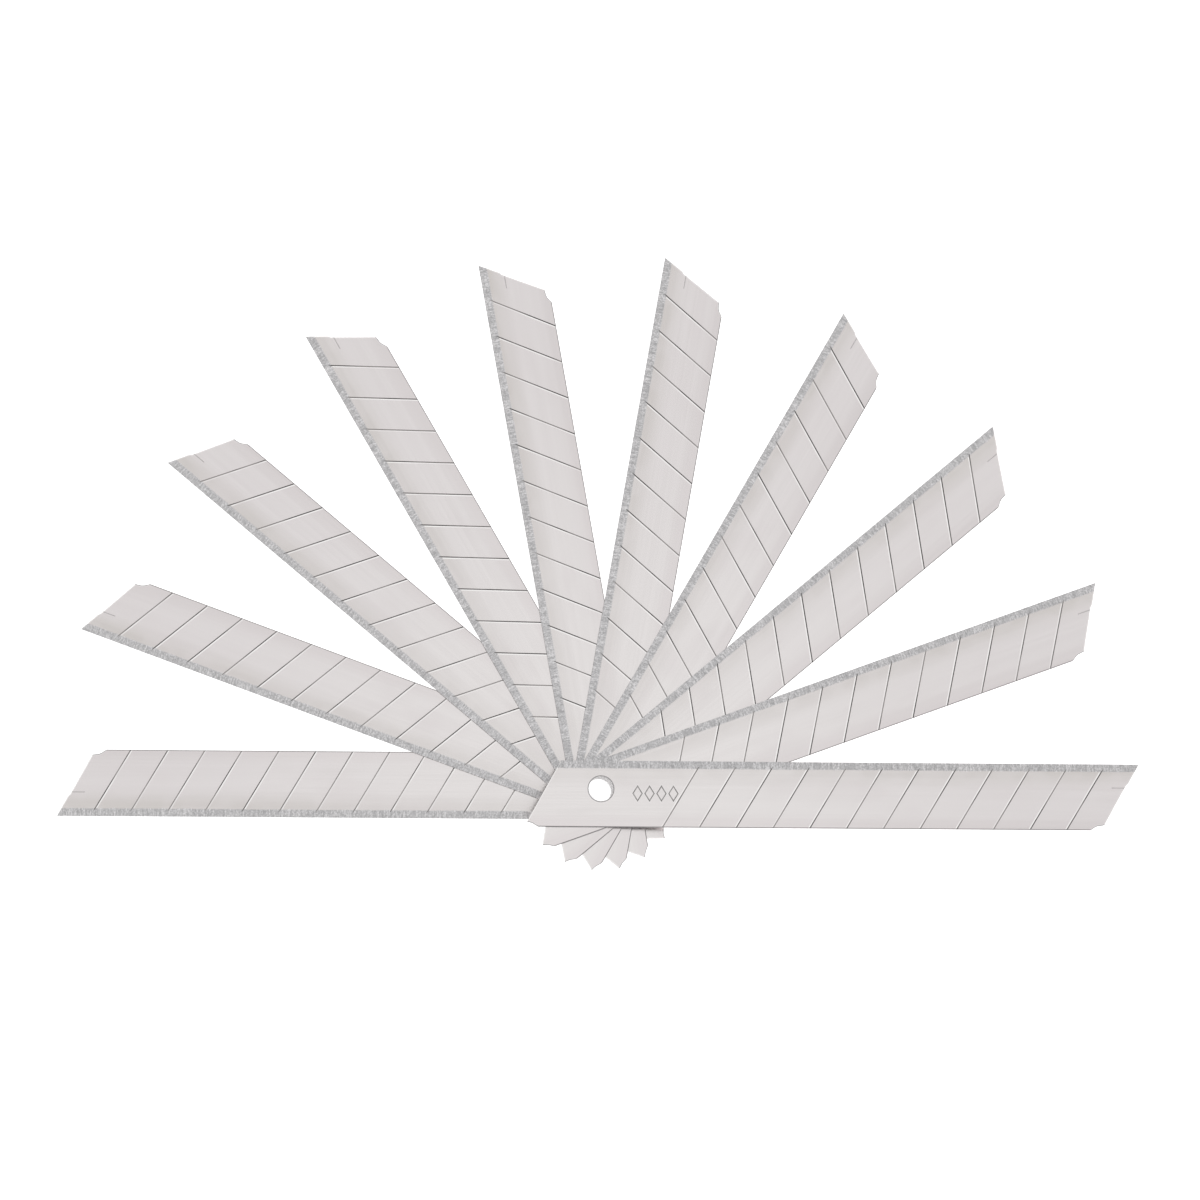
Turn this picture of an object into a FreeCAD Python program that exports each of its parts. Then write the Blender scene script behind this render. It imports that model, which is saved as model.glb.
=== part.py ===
"""Fan of ten snap-off cutter blades laid over one another about their tail holes.

Every blade is the same strip of ground steel.  The lowest one points along -X, each
next one lies on top of it turned 20 degrees clockwise, and the top one points along +X.
The common axis of the ten holes is +Z, and the lowest blade's underside is z = 0.

A blade's own frame has the hole's axis at the origin, +X towards the tip, +Y towards
the cutting edge and the underside at z = 0.  All lengths are millimetres.
"""

import FreeCAD, Part
import math
import os

# the fan
BLADE_COUNT = 10
FAN_STEP_DEG = 20.0
BLADE_GAP = 0.03

# the strip
THICKNESS = 0.40
WIDTH = 9.00
EDGE_FROM_HOLE = 3.82
BEVEL_WIDTH = 1.04

# the rolled spine: half-round break on both faces, drawn as two facets
SPINE_BREAK_WIDTH = 0.10
SPINE_BREAK_KNEE = 0.04
SPINE_BREAK_KNEE_DEPTH = 0.02
SPINE_BREAK_DEPTH = 0.07

# the punched tail hole, with its rim rolled over on the upper face
HOLE_RADIUS = 1.70
HOLE_RIM_WIDTH = 0.08
HOLE_RIM_DEPTH = 0.05

# the two sheared ends, measured where they cross the cutting edge
TAIL_X = -5.41
TIP_X = 73.25
END_SLANT_DEG = 29.0
TIP_STEP = 0.16
TIP_STEP_Y = 1.05

# the corners clipped off beside the spine: distance in from the end, and depth there
TIP_CLIP = ((0.0, 0.70), (0.82, 0.60), (1.16, 0.48), (1.90, 0.0))
TAIL_CLIP = ((0.0, 0.70), (0.68, 0.50), (1.52, 0.0))

# the score lines that the blade snaps along
SCORE_COUNT = 12
SCORE_FIRST_X = 11.43
SCORE_PITCH = 5.00
SCORE_SLANT_DEG = 31.0
SCORE_WIDTH = 0.18
SCORE_DEPTH = 0.08

# the short tool mark beside the tip
TIP_MARK_X = 69.50
TIP_MARK_LENGTH = 2.00
TIP_MARK_Y = 0.58
TIP_MARK_WIDTH = 0.12
TIP_MARK_DEPTH = 0.03

# the stamped row of outlined lozenges beside the hole
STAMP_COUNT = 4
STAMP_FIRST_X = 4.95
STAMP_PITCH = 1.62
STAMP_Y = -0.60
STAMP_HALF_LENGTH = 0.72
STAMP_HALF_HEIGHT = 1.15
STAMP_LINE = 0.16
STAMP_DEPTH = 0.04

OVERRUN = 1.0
EDGE_Y = EDGE_FROM_HOLE
SPINE_Y = EDGE_FROM_HOLE - WIDTH


def prism(points, sweep):
    """Solid swept from the closed polygon through the points along a vector."""
    loop = [FreeCAD.Vector(*p) for p in points]
    wire = Part.makePolygon(loop + [loop[0]])
    return Part.Face(wire).extrude(FreeCAD.Vector(*sweep))


def end_x(corner_x, y):
    """X of a sheared end at height y, where the end meets the cutting edge at corner_x."""
    return corner_x - (EDGE_Y - y) * math.tan(math.radians(END_SLANT_DEG))


def ground_strip():
    """Flat strip with a rolled spine and both faces ground to the sharp cutting edge."""
    shoulder_y = EDGE_Y - BEVEL_WIDTH
    start = end_x(TAIL_X, SPINE_Y) - OVERRUN
    upper_half = [
        (EDGE_Y, THICKNESS / 2),
        (shoulder_y, THICKNESS),
        (SPINE_Y + SPINE_BREAK_WIDTH, THICKNESS),
        (SPINE_Y + SPINE_BREAK_KNEE, THICKNESS - SPINE_BREAK_KNEE_DEPTH),
        (SPINE_Y, THICKNESS - SPINE_BREAK_DEPTH),
    ]
    lower_half = [(y, THICKNESS - z) for y, z in reversed(upper_half[1:])]
    section = [(start, y, z) for y, z in upper_half + lower_half]
    return prism(section, (TIP_X + OVERRUN - start, 0, 0))


def corner_clip(end_corner_x, inward, steps):
    """Plan points of a clipped corner, from the sheared end to beyond the spine."""
    points = [(end_corner_x + inward * run, SPINE_Y + depth) for run, depth in steps]
    knee_x, knee_y = points[-2]
    exit_x = points[-1][0]
    slope = (exit_x - knee_x) / (knee_y - SPINE_Y)
    beyond = (exit_x + slope * OVERRUN, SPINE_Y - OVERRUN)
    return points[:-1] + [beyond]


def blade_outline():
    """Plan of the shear cuts: slanted ends, the step near the tip and clipped corners."""
    top_y = EDGE_Y + OVERRUN
    tip_clip_y = SPINE_Y + TIP_CLIP[0][1]
    tail_clip_y = SPINE_Y + TAIL_CLIP[0][1]
    lower_tip = TIP_X - TIP_STEP
    tip_end = [
        (end_x(TIP_X, top_y), top_y),
        (end_x(TIP_X, TIP_STEP_Y + TIP_STEP), TIP_STEP_Y + TIP_STEP),
        (end_x(lower_tip, TIP_STEP_Y - TIP_STEP), TIP_STEP_Y - TIP_STEP),
    ]
    tip_clip = corner_clip(end_x(lower_tip, tip_clip_y), -1, TIP_CLIP)
    tail_clip = corner_clip(end_x(TAIL_X, tail_clip_y), 1, TAIL_CLIP)
    tail_end = [(end_x(TAIL_X, top_y), top_y)]
    return tip_end + tip_clip + tail_clip[::-1] + tail_end


def blade_blank():
    """Ground strip sheared to the blade's outline."""
    plan = [(x, y, -OVERRUN) for x, y in blade_outline()]
    shear = prism(plan, (0, 0, THICKNESS + 2 * OVERRUN))
    return ground_strip().common(shear)


def tail_hole():
    """Round hole through the tail, flared a little at the upper face."""
    height = THICKNESS + 2 * OVERRUN
    bore = Part.makeCylinder(HOLE_RADIUS, height, FreeCAD.Vector(0, 0, -OVERRUN))
    flare_start = FreeCAD.Vector(0, 0, THICKNESS - HOLE_RIM_DEPTH)
    wide = HOLE_RADIUS + 2 * HOLE_RIM_WIDTH
    flare = Part.makeCone(HOLE_RADIUS, wide, 2 * HOLE_RIM_DEPTH, flare_start)
    return bore.fuse(flare)


def score_groove(index):
    """One V-groove across the upper face, counted from the tail."""
    slant = math.tan(math.radians(SCORE_SLANT_DEG))
    start_y = SPINE_Y - OVERRUN
    run_y = WIDTH + 2 * OVERRUN
    x = SCORE_FIRST_X + index * SCORE_PITCH + start_y * slant
    rise = SCORE_DEPTH
    half = SCORE_WIDTH / math.cos(math.radians(SCORE_SLANT_DEG))
    section = [
        (x, start_y, THICKNESS - SCORE_DEPTH),
        (x + half, start_y, THICKNESS + rise),
        (x - half, start_y, THICKNESS + rise),
    ]
    return prism(section, (run_y * slant, run_y, 0))


def tip_mark():
    """Shallow line parallel to the cutting edge, ending at the tip's sheared end."""
    floor_z = THICKNESS - TIP_MARK_DEPTH
    size = (TIP_MARK_LENGTH, TIP_MARK_WIDTH, TIP_MARK_DEPTH + OVERRUN)
    corner = FreeCAD.Vector(TIP_MARK_X, TIP_MARK_Y - TIP_MARK_WIDTH / 2, floor_z)
    return Part.makeBox(*size, corner)


def lozenge(center_x, inset):
    """Prism on the stamp's lozenge, with its outline moved inwards by inset."""
    diagonal = math.hypot(STAMP_HALF_LENGTH, STAMP_HALF_HEIGHT)
    scale = 1 - inset * diagonal / (STAMP_HALF_LENGTH * STAMP_HALF_HEIGHT)
    half_x = STAMP_HALF_LENGTH * scale
    half_y = STAMP_HALF_HEIGHT * scale
    floor_z = THICKNESS - STAMP_DEPTH
    corners = [
        (center_x - half_x, STAMP_Y, floor_z),
        (center_x, STAMP_Y - half_y, floor_z),
        (center_x + half_x, STAMP_Y, floor_z),
        (center_x, STAMP_Y + half_y, floor_z),
    ]
    return prism(corners, (0, 0, OVERRUN))


def stamp(index):
    """One outlined lozenge of the stamped row."""
    center_x = STAMP_FIRST_X + index * STAMP_PITCH
    return lozenge(center_x, 0.0).cut(lozenge(center_x, STAMP_LINE))


def blade():
    """Finished blade in its own frame."""
    tools = [tail_hole(), tip_mark()]
    tools += [score_groove(i) for i in range(SCORE_COUNT)]
    tools += [stamp(i) for i in range(STAMP_COUNT)]
    shape = blade_blank().cut(tools)
    return shape.Solids[0]


def placed(shape, level):
    """Copy of the blade at its level in the stack, level 0 being the lowest."""
    copy = shape.copy()
    angle = FAN_STEP_DEG * (BLADE_COUNT - 1 - level)
    copy.rotate(FreeCAD.Vector(0, 0, 0), FreeCAD.Vector(0, 0, 1), angle)
    copy.translate(FreeCAD.Vector(0, 0, level * (THICKNESS + BLADE_GAP)))
    return copy


os.makedirs("parts", exist_ok=True)
one_blade = blade()
for stack_level in range(BLADE_COUNT):
    name = "blade_%02d" % (stack_level + 1)
    placed(one_blade, stack_level).exportStep("parts/%s.step" % name)
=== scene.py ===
import math
from types import SimpleNamespace

import bpy
from mathutils import Matrix, Vector

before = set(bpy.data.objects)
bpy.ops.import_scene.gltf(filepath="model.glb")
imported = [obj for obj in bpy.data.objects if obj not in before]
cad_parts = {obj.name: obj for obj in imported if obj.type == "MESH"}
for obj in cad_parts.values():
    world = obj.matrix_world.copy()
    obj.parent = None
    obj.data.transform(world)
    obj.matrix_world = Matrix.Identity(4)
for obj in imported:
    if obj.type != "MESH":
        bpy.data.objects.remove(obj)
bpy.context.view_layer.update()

# ---------------------------------------------------------------- blade facts, in millimetres
BLADE_COUNT = 10
FAN_STEP = 20.0
LEVEL = 0.43
THICKNESS = 0.40
EDGE_Y = 3.82
SHOULDER_Y = EDGE_Y - 1.04
WIDTH = 9.00
SPINE_Y = EDGE_Y - WIDTH
HOLE_RADIUS = 1.70
SCORE_FIRST_X = 11.43
SCORE_PITCH = 5.00
SCORE_COUNT = 12
SCORE_SLANT = math.tan(math.radians(31.0))
END_SLANT = math.tan(math.radians(29.0))
TAIL_X = -5.41
TIP_X = 73.25
TIP_STEP = 0.16
TIP_STEP_Y = 1.05
TAIL_CLIP = ((0.0, 0.70), (0.68, 0.50), (1.52, 0.0))
TIP_CLIP = ((0.0, 0.70), (0.82, 0.60), (1.16, 0.48), (1.90, 0.0))
STAMP_COUNT = 4
STAMP_FIRST_X = 4.95
STAMP_PITCH = 1.62
STAMP_Y = -0.60
STAMP_HALF_LENGTH = 0.72
STAMP_HALF_HEIGHT = 1.15

# what turns a run along x, or a depth in y, into a distance square to the sheared edge
END_SQUARE = 0.875
CLIP_SQUARE = 0.9
BEYOND_ALL_CLIPS = 10.0

MM_PER_METRE = 1000
BUMP_HEIGHT = 0.000003

# ---------------------------------------------------------------- shader helpers


def rgb(r, g, b):
    """An sRGB colour, 0 to 255, as the linear colour a shader takes."""
    def linear(c):
        c /= 255.0
        return c / 12.92 if c <= 0.04045 else ((c + 0.055) / 1.055) ** 2.4
    return (linear(r), linear(g), linear(b), 1.0)


class Shader:
    """A few short words for building the node tree of a material or a world."""

    def __init__(self, owner):
        self.owner = owner
        owner.use_nodes = True
        self.tree = owner.node_tree
        self.tree.nodes.clear()

    def add(self, kind, **settings):
        node = self.tree.nodes.new(kind)
        for key, value in settings.items():
            setattr(node, key, value)
        return node

    def feed(self, socket, value):
        if isinstance(value, bpy.types.NodeSocket):
            self.tree.links.new(value, socket)
        else:
            socket.default_value = value

    def calc(self, operation, a, b=0.0):
        node = self.add("ShaderNodeMath", operation=operation)
        self.feed(node.inputs[0], a)
        self.feed(node.inputs[1], b)
        return node.outputs[0]

    def plus(self, a, b):
        return self.calc("ADD", a, b)

    def minus(self, a, b):
        return self.calc("SUBTRACT", a, b)

    def least(self, a, b):
        return self.calc("MINIMUM", a, b)

    def times(self, first, *rest):
        for other in rest:
            first = self.calc("MULTIPLY", first, other)
        return first

    def wrap(self, value, period):
        """The value brought into the stretch of one period about zero."""
        node = self.add("ShaderNodeMath", operation="WRAP")
        self.feed(node.inputs[0], value)
        node.inputs[1].default_value = period / 2
        node.inputs[2].default_value = -period / 2
        return node.outputs[0]

    def fade(self, value, low, high, start=0.0, end=1.0):
        """Smooth change from start to end as the value goes from low to high."""
        node = self.add("ShaderNodeMapRange", interpolation_type="SMOOTHSTEP")
        self.feed(node.inputs["Value"], value)
        node.inputs["From Min"].default_value = low
        node.inputs["From Max"].default_value = high
        node.inputs["To Min"].default_value = start
        node.inputs["To Max"].default_value = end
        return node.outputs["Result"]

    def mix(self, factor, a, b):
        node = self.add("ShaderNodeMix", data_type="RGBA", blend_type="MIX")
        self.feed(node.inputs[0], factor)
        self.feed(node.inputs[6], a)
        self.feed(node.inputs[7], b)
        return node.outputs[2]

    def blend(self, factor, a, b):
        node = self.add("ShaderNodeMix", data_type="FLOAT")
        self.feed(node.inputs[0], factor)
        self.feed(node.inputs[2], a)
        self.feed(node.inputs[3], b)
        return node.outputs[0]

    def noise(self, vector, per_mm, seed, detail=3.0, roughness=0.5):
        """Noise with its own frequency along each axis, in cycles per millimetre."""
        stretch = self.add("ShaderNodeMapping")
        self.feed(stretch.inputs["Vector"], vector)
        stretch.inputs["Scale"].default_value = per_mm
        stretch.inputs["Location"].default_value = (seed * 7.31, seed * 3.17, seed * 5.93)
        node = self.add("ShaderNodeTexNoise", noise_dimensions="3D")
        self.feed(node.inputs["Vector"], stretch.outputs["Vector"])
        node.inputs["Scale"].default_value = 1.0
        node.inputs["Detail"].default_value = detail
        node.inputs["Roughness"].default_value = roughness
        return node.outputs["Fac"]


# ---------------------------------------------------------------- places on a blade


def blade_axes(s, level):
    """Point and facing in the blade's own axes: x to the tip, y to the edge, in millimetres."""
    angle = math.radians(FAN_STEP * (BLADE_COUNT - 1 - level))
    coordinates = s.add("ShaderNodeTexCoord")
    place = s.add("ShaderNodeMapping")
    s.feed(place.inputs["Vector"], coordinates.outputs["Object"])
    place.inputs["Scale"].default_value = (MM_PER_METRE, MM_PER_METRE, MM_PER_METRE)
    place.inputs["Rotation"].default_value = (0, 0, -angle)
    place.inputs["Location"].default_value = (0, 0, -level * LEVEL)
    point = place.outputs["Vector"]
    split = s.add("ShaderNodeSeparateXYZ")
    s.feed(split.inputs[0], point)
    x, y, z = split.outputs

    turn = s.add("ShaderNodeVectorRotate", rotation_type="Z_AXIS")
    s.feed(turn.inputs["Vector"], coordinates.outputs["Normal"])
    turn.inputs["Angle"].default_value = -angle
    facing = s.add("ShaderNodeSeparateXYZ")
    s.feed(facing.inputs[0], turn.outputs["Vector"])
    nx, ny, nz = facing.outputs
    return SimpleNamespace(
        point=point, x=x, y=y, nx=nx, ny=ny, depth=s.minus(THICKNESS, z),
        flatness=s.calc("ABSOLUTE", nz), upper=s.fade(nz, 0.95, 0.98))


def from_clip(s, x, y, end_x, inward, clip):
    """Distance of a point in from a clipped corner, whose sheared end has end_x at the spine."""
    corner_x = end_x + clip[0][1] * END_SLANT
    run = s.times(s.minus(x, corner_x), inward)
    cut = BEYOND_ALL_CLIPS
    for (run_a, depth_a), (run_b, depth_b) in zip(clip, clip[1:]):
        slope = (depth_b - depth_a) / (run_b - run_a)
        side = s.plus(s.times(s.minus(run, run_a), slope), depth_a)
        cut = s.least(side, cut)
    return s.times(s.minus(s.minus(y, SPINE_Y), cut), CLIP_SQUARE)


def from_ends(s, x, y):
    """Distances of a point in from the nearer slanted end and from the nearer clipped corner."""
    along = s.minus(x, s.times(s.minus(y, EDGE_Y), END_SLANT))
    drop = WIDTH * END_SLANT
    step = s.fade(y, TIP_STEP_Y + TIP_STEP, TIP_STEP_Y - TIP_STEP, 0.0, TIP_STEP)
    tail_end = s.times(s.minus(along, TAIL_X), END_SQUARE)
    tip_end = s.times(s.minus(s.minus(TIP_X, step), along), END_SQUARE)
    tail_clip = from_clip(s, x, y, TAIL_X - drop, 1.0, TAIL_CLIP)
    tip_clip = from_clip(s, x, y, TIP_X - TIP_STEP - drop, -1.0, TIP_CLIP)
    return s.least(tail_end, tip_end), s.least(tail_clip, tip_clip)


def near_the_hole(s, x, y):
    """One on the hole's wall and flared rim, fading to nought just outside them."""
    flat_point = s.add("ShaderNodeCombineXYZ")
    s.feed(flat_point.inputs[0], x)
    s.feed(flat_point.inputs[1], y)
    radius = s.add("ShaderNodeVectorMath", operation="LENGTH")
    s.feed(radius.inputs[0], flat_point.outputs[0])
    return s.fade(radius.outputs["Value"], HOLE_RADIUS + 0.14, HOLE_RADIUS + 0.10)


def score_lip_highlight(s, blade, pressed):
    """A painted highlight on the tail side of each score line, where a raised lip would catch the
    light, uneven as the line was pressed.
    """
    along = s.minus(s.minus(blade.x, SCORE_FIRST_X), s.times(blade.y, SCORE_SLANT))
    from_line = s.wrap(along, SCORE_PITCH)
    first = -SCORE_PITCH / 2
    last = (SCORE_COUNT - 0.5) * SCORE_PITCH
    scored = s.times(s.fade(along, first, first + 0.1), s.fade(along, last, last - 0.1))
    return s.times(
        s.fade(from_line, -0.34, -0.18), s.fade(from_line, -0.07, -0.11), scored, blade.upper,
        s.fade(blade.y, SHOULDER_Y + 0.05, SHOULDER_Y - 0.15), s.fade(pressed, 0.35, 0.60, 0.35, 1.0))


def stamp_burr_highlight(s, blade):
    """A painted highlight for the low burr round each stamped lozenge; reach is 1 on the lozenge's
    outline.
    """
    stamp_x = s.minus(blade.x, STAMP_FIRST_X)
    cell = s.calc("ABSOLUTE", s.wrap(stamp_x, STAMP_PITCH))
    rise = s.calc("ABSOLUTE", s.minus(blade.y, STAMP_Y))
    reach = s.plus(s.calc("DIVIDE", cell, STAMP_HALF_LENGTH), s.calc("DIVIDE", rise, STAMP_HALF_HEIGHT))
    row_start = -STAMP_PITCH / 2
    row_end = (STAMP_COUNT - 0.5) * STAMP_PITCH
    in_row = s.times(
        s.fade(stamp_x, row_start - 0.1, row_start), s.fade(stamp_x, row_end + 0.1, row_end))
    return s.times(s.fade(reach, 0.98, 1.02), s.fade(reach, 1.14, 1.05), in_row, blade.upper, 0.65)


# ---------------------------------------------------------------- ground steel


def steel_noises(s, point, seed):
    """Long rolling streaks, grinding marks across the bevel, blotches, and tears on cut walls."""
    return SimpleNamespace(
        streak_wide=s.noise(point, (0.020, 1.1, 1.0), seed, detail=2.0),
        streak_fine=s.noise(point, (0.050, 5.0, 1.0), seed + 20, detail=2.0),
        cloud=s.noise(point, (0.10, 0.22, 1.0), seed + 40, detail=2.0),
        grind_wide=s.noise(point, (3.4, 0.45, 1.0), seed + 60, roughness=0.70),
        grind_fine=s.noise(point, (14.0, 0.70, 1.0), seed + 80, roughness=0.6),
        grain=s.noise(point, (6.0, 4.0, 6.0), seed + 100, roughness=0.6),
        pressed=s.noise(point, (0.21, 0.16, 1.0), seed + 120, detail=2.0),
        patch=s.noise(point, (0.30, 0.35, 1.0), seed + 140, detail=1.0),
        tear=s.noise(point, (9.0, 9.0, 0.9), seed + 160, roughness=0.6))


def steel_zones(s, blade, noises):
    """Where each kind of surface lies: bevel, cut walls, groove flanks, rims and recesses, with the
    masks for painted highlights and painted shade.
    """
    x, y, depth, flatness = blade.x, blade.y, blade.depth, blade.flatness
    uneven = s.minus(s.blend(0.35, noises.grind_wide, noises.grind_fine), 0.5)
    on_wall = s.fade(flatness, 0.55, 0.35)
    near_hole = near_the_hole(s, x, y)
    sloping = s.times(s.fade(flatness, 0.90, 0.86), s.minus(1.0, on_wall), s.minus(1.0, near_hole))
    level_face = s.fade(flatness, 0.90, 0.96)
    end_gap, clip_gap = from_ends(s, x, y)
    return SimpleNamespace(
        on_bevel=s.fade(s.plus(y, s.times(uneven, 0.50)), SHOULDER_Y - 0.10, SHOULDER_Y + 0.08),
        on_wall=on_wall,
        near_hole=near_hole,
        lip=score_lip_highlight(s, blade, noises.pressed),
        # painted shade on the deeper part of the groove flanks that face the tail
        shaded_flank=s.times(sloping, s.fade(blade.nx, -0.20, -0.35), s.fade(depth, 0.010, 0.032)),
        # painted highlight on the groove flanks that face the tip
        lit_flank=s.times(sloping, s.fade(blade.nx, 0.20, 0.35)),
        # painted shade on the rolled spine edge
        spine_roll_shade=s.times(s.fade(y, SPINE_Y + 0.14, SPINE_Y + 0.10), s.fade(blade.ny, -0.05, -0.25)),
        burnished=s.fade(s.plus(depth, s.times(noises.tear, 0.12)), 0.22, 0.18),
        recess=s.times(
            s.fade(depth, 0.010, 0.022), blade.upper,
            s.fade(y, 2.6, 2.4), s.fade(x, 40.0, 60.0, 1.0, 0.6)),
        # painted highlight round each stamped lozenge
        burr=stamp_burr_highlight(s, blade),
        # painted highlight along the sheared ends and clipped corners, broken up by grain
        rim=s.times(
            s.fade(s.least(end_gap, clip_gap), 0.18, 0.09), level_face,
            s.fade(y, 3.2, 2.6, 0.3, 1.0), s.fade(noises.grain, 0.30, 0.60, 0.25, 0.75)),
        # painted shade: thin dark line along the very edge of the clipped corners
        clip_edge_shade=s.times(s.fade(clip_gap, 0.10, 0.05), level_face))


def face_color(s, blade, noises):
    """Rolled face: warmer beside the bevel, darker to the tip and spine, with faint streaks."""
    toward_tip = s.fade(blade.x, 8.0, 66.0)
    spine_side = s.times(s.fade(blade.y, SPINE_Y + 2.4, SPINE_Y + 0.2), 0.8)
    warm = s.times(
        s.fade(blade.y, SHOULDER_Y - 3.0, SHOULDER_Y + 0.1),
        s.fade(noises.patch, 0.35, 0.60, 0.70, 1.0), s.blend(toward_tip, 0.45, 1.0))
    color = s.mix(toward_tip, rgb(232, 228, 227), rgb(223, 218, 218))
    color = s.mix(warm, color, rgb(208, 203, 200))
    color = s.mix(spine_side, color, s.mix(toward_tip, rgb(226, 220, 220), rgb(215, 209, 209)))
    color = s.mix(s.fade(noises.cloud, 0.48, 0.72, 0.0, 0.40), color, rgb(220, 214, 214))
    color = s.mix(s.fade(noises.streak_wide, 0.35, 0.70, 0.0, 0.10), color, rgb(238, 235, 234))
    return s.mix(s.fade(noises.streak_fine, 0.30, 0.70, 0.12, 0.0), color, rgb(190, 186, 185))


def bevel_color(s, noises):
    """Bevel ground across the edge, mottled lighter and darker."""
    color = s.mix(s.fade(noises.grind_wide, 0.36, 0.66), rgb(186, 185, 186), rgb(231, 229, 230))
    color = s.mix(s.fade(noises.grind_fine, 0.38, 0.66, 0.0, 0.45), color, rgb(238, 237, 237))
    return s.mix(s.fade(noises.grain, 0.38, 0.62, 0.56, 0.0), color, rgb(150, 149, 150))


def steel_color(s, blade, noises, zones):
    """Colour of the whole blade, laid on from the broad faces to the finest marks, painted highlights
    and painted shade among them.
    """
    torn = s.fade(noises.tear, 0.35, 0.65)
    # painted shade for the recess floors, grainy
    recess_shade = s.mix(s.fade(noises.grain, 0.35, 0.65), rgb(150, 147, 146), rgb(180, 177, 176))
    # painted shade for the groove flanks facing the tail, mottled
    flank_shade = s.mix(s.fade(noises.pressed, 0.35, 0.62), rgb(156, 152, 151), rgb(84, 82, 82))
    shear = s.mix(torn, rgb(142, 140, 140), rgb(188, 186, 186))
    shear = s.mix(zones.burnished, shear, rgb(206, 204, 204))
    reamed = s.mix(torn, rgb(218, 216, 216), rgb(246, 244, 244))
    layers = (
        (zones.on_bevel, bevel_color(s, noises)),
        # painted highlight round each stamped lozenge
        (zones.burr, rgb(248, 246, 245)),
        # painted highlight along the sheared ends and clipped corners
        (zones.rim, rgb(250, 248, 247)),
        # painted shade along the edges of the clipped corners
        (zones.clip_edge_shade, rgb(126, 123, 123)),
        # painted shade on the recess floors
        (zones.recess, recess_shade),
        # painted highlight beside each score line
        (zones.lip, rgb(250, 248, 247)),
        # painted shade on the groove flanks facing the tail
        (zones.shaded_flank, flank_shade),
        # painted highlight on the groove flanks facing the tip
        (zones.lit_flank, rgb(252, 251, 250)),
        # painted shade on the rolled spine edge
        (zones.spine_roll_shade, rgb(134, 131, 131)),
        # painted shade on the flared rim round the hole
        (zones.near_hole, rgb(166, 163, 163)),
        (zones.on_wall, shear),
        (s.times(zones.on_wall, zones.near_hole), reamed),
    )
    color = face_color(s, blade, noises)
    for amount, layer in layers:
        color = s.mix(amount, color, layer)
    return color


def steel_roughness(s, noises, zones):
    """Bright rolled faces, a duller bevel, dull recesses and torn walls."""
    rough = s.blend(s.fade(noises.streak_fine, 0.3, 0.7), 0.16, 0.25)
    rough = s.blend(zones.on_bevel, rough, s.fade(noises.grind_fine, 0.3, 0.7, 0.30, 0.46))
    rough = s.blend(zones.recess, rough, 0.50)
    return s.blend(zones.on_wall, rough, s.blend(zones.burnished, 0.56, 0.34))


def steel_relief(s, noises, zones):
    """Very fine bump: streaks on the faces, grinding marks on the bevel, tears on the walls."""
    height = s.blend(zones.on_bevel, noises.streak_fine, s.plus(noises.grind_wide, noises.grind_fine))
    bump = s.add("ShaderNodeBump")
    bump.inputs["Strength"].default_value = 0.35
    bump.inputs["Distance"].default_value = BUMP_HEIGHT
    s.feed(bump.inputs["Height"], s.blend(zones.on_wall, height, noises.tear))
    return bump.outputs["Normal"]


def blade_steel(level):
    """Ground strip steel for the blade at this level, laid out in the blade's own axes."""
    s = Shader(bpy.data.materials.new("ground_steel_%02d" % (level + 1)))
    blade = blade_axes(s, level)
    noises = steel_noises(s, blade.point, level + 1)
    zones = steel_zones(s, blade, noises)
    shade = s.add("ShaderNodeBsdfPrincipled")
    shade.inputs["Metallic"].default_value = 1.0
    s.feed(shade.inputs["Base Color"], steel_color(s, blade, noises, zones))
    s.feed(shade.inputs["Roughness"], steel_roughness(s, noises, zones))
    s.feed(shade.inputs["Normal"], steel_relief(s, noises, zones))
    s.feed(s.add("ShaderNodeOutputMaterial").inputs["Surface"], shade.outputs["BSDF"])
    return s.owner


for level, name in enumerate(sorted(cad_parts)):
    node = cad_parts[name]
    node.data.materials.clear()
    node.data.materials.append(blade_steel(level))

# ---------------------------------------------------------------- floor

FLOOR_HALF = 4.0
FLOOR_GAP = 0.00002


def pale_floor():
    """Plain pale sheet under the fan."""
    s = Shader(bpy.data.materials.new("pale_floor"))
    coordinates = s.add("ShaderNodeTexCoord")
    tooth = s.add("ShaderNodeTexNoise")
    s.feed(tooth.inputs["Vector"], coordinates.outputs["Object"])
    tooth.inputs["Scale"].default_value = 900.0
    color = s.mix(tooth.outputs["Fac"], (0.90, 0.90, 0.90, 1), (0.93, 0.93, 0.93, 1))
    shade = s.add("ShaderNodeBsdfPrincipled")
    s.feed(shade.inputs["Base Color"], color)
    shade.inputs["Roughness"].default_value = 0.9
    shade.inputs["Specular IOR Level"].default_value = 0.2
    shade.inputs["Emission Color"].default_value = (1, 1, 1, 1)
    shade.inputs["Emission Strength"].default_value = 0.75
    s.feed(s.add("ShaderNodeOutputMaterial").inputs["Surface"], shade.outputs["BSDF"])
    return s.owner


floor_mesh = bpy.data.meshes.new("floor")
signs = ((-1, -1), (1, -1), (1, 1), (-1, 1))
corners = [(x_sign * FLOOR_HALF, y_sign * FLOOR_HALF, 0) for x_sign, y_sign in signs]
floor_mesh.from_pydata(corners, [], [(0, 1, 2, 3)])
floor = bpy.data.objects.new("floor", floor_mesh)
floor.location = (0, 0, -FLOOR_GAP)
floor_mesh.materials.append(pale_floor())
bpy.context.scene.collection.objects.link(floor)

# ---------------------------------------------------------------- light


def area_light(name, place, target, size, power):
    data = bpy.data.lights.new(name, "AREA")
    data.shape = "DISK"
    data.size = size
    data.energy = power
    light = bpy.data.objects.new(name, data)
    light.location = place
    light.rotation_mode = "QUATERNION"
    light.rotation_quaternion = (Vector(target) - Vector(place)).to_track_quat("-Z", "Y")
    bpy.context.scene.collection.objects.link(light)


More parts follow.
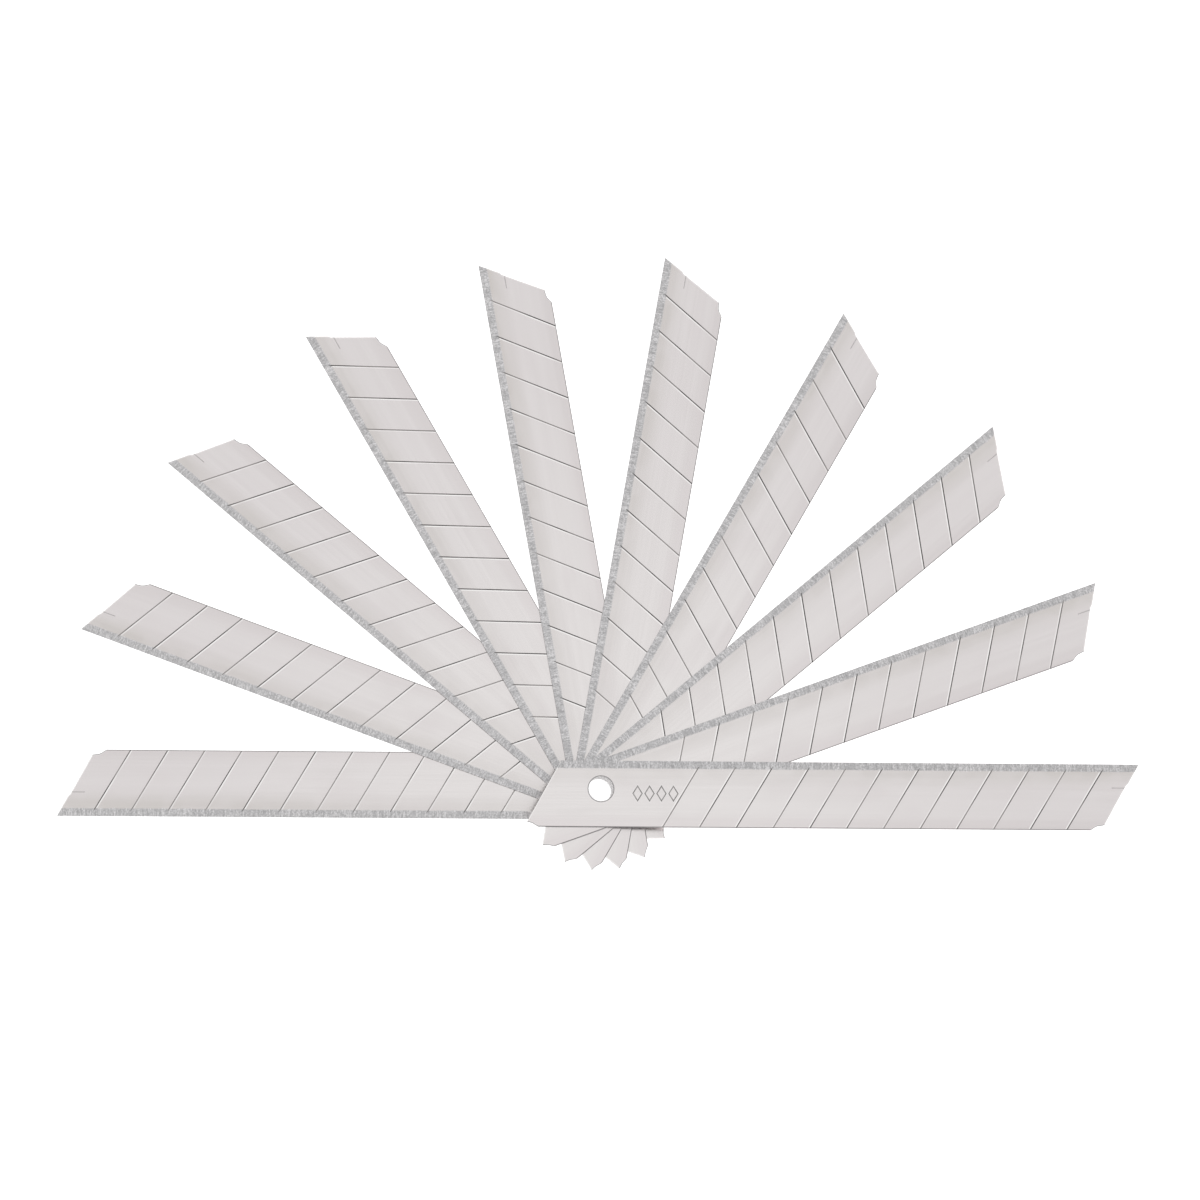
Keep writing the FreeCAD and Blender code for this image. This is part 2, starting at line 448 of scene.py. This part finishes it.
area_light("overhead", (-0.05, 0.10, 1.6), (0, 0.02, 0), 1.8, 1.3)


def studio_sky():
    """White overhead, a little darker and uneven round the horizon, as in a room of soft panels."""
    s = Shader(bpy.data.worlds.new("studio"))
    axes = s.add("ShaderNodeSeparateXYZ")
    s.feed(axes.inputs[0], s.add("ShaderNodeTexCoord").outputs["Generated"])
    x, y, up = axes.outputs
    turn = s.times(s.calc("ARCTAN2", y, x), 3.0)
    wave = s.calc("SINE", s.plus(turn, 0.6))
    low = s.fade(up, 0.62, 0.10)
    panels = s.plus(1.0, s.times(low, wave, 0.16))
    backdrop = s.add("ShaderNodeBackground")
    s.feed(backdrop.inputs["Strength"], s.times(s.fade(up, -0.05, 0.95, 0.66, 1.0), panels))
    s.feed(s.add("ShaderNodeOutputWorld").inputs["Surface"], backdrop.outputs[0])
    return s.owner


bpy.context.scene.world = studio_sky()

# ---------------------------------------------------------------- camera

TILT = math.radians(8.0)
ROLL = math.radians(0.5)
LENS = 300.0
SENSOR = 36.0
FRAME_WIDTH = 1200 / 7.38 * 0.001
across = Vector((math.cos(ROLL), math.sin(ROLL), 0))
upward = Vector((-math.sin(ROLL), math.cos(ROLL), 0))
target = across * 0.00030 + upward * 0.02588 + Vector((0, 0, 0.002))
lean = (across * -0.62 + upward * -0.78).normalized()
back = lean * math.sin(TILT) + Vector((0, 0, math.cos(TILT)))

camera_data = bpy.data.cameras.new("camera")
camera_data.lens = LENS
camera_data.sensor_width = SENSOR
camera_data.clip_start = 0.01
camera_data.clip_end = 20.0
camera = bpy.data.objects.new("camera", camera_data)
distance = FRAME_WIDTH * LENS / SENSOR
right = (across - back * across.dot(back)).normalized()
top = back.cross(right)
turned = Matrix((right, top, back)).transposed().to_4x4()
camera.matrix_world = Matrix.Translation(target + back * distance) @ turned
bpy.context.scene.collection.objects.link(camera)
bpy.context.scene.camera = camera

view = bpy.context.scene.view_settings
view.view_transform = "Standard"
view.look = "None"
view.exposure = 0.0
view.gamma = 1.0
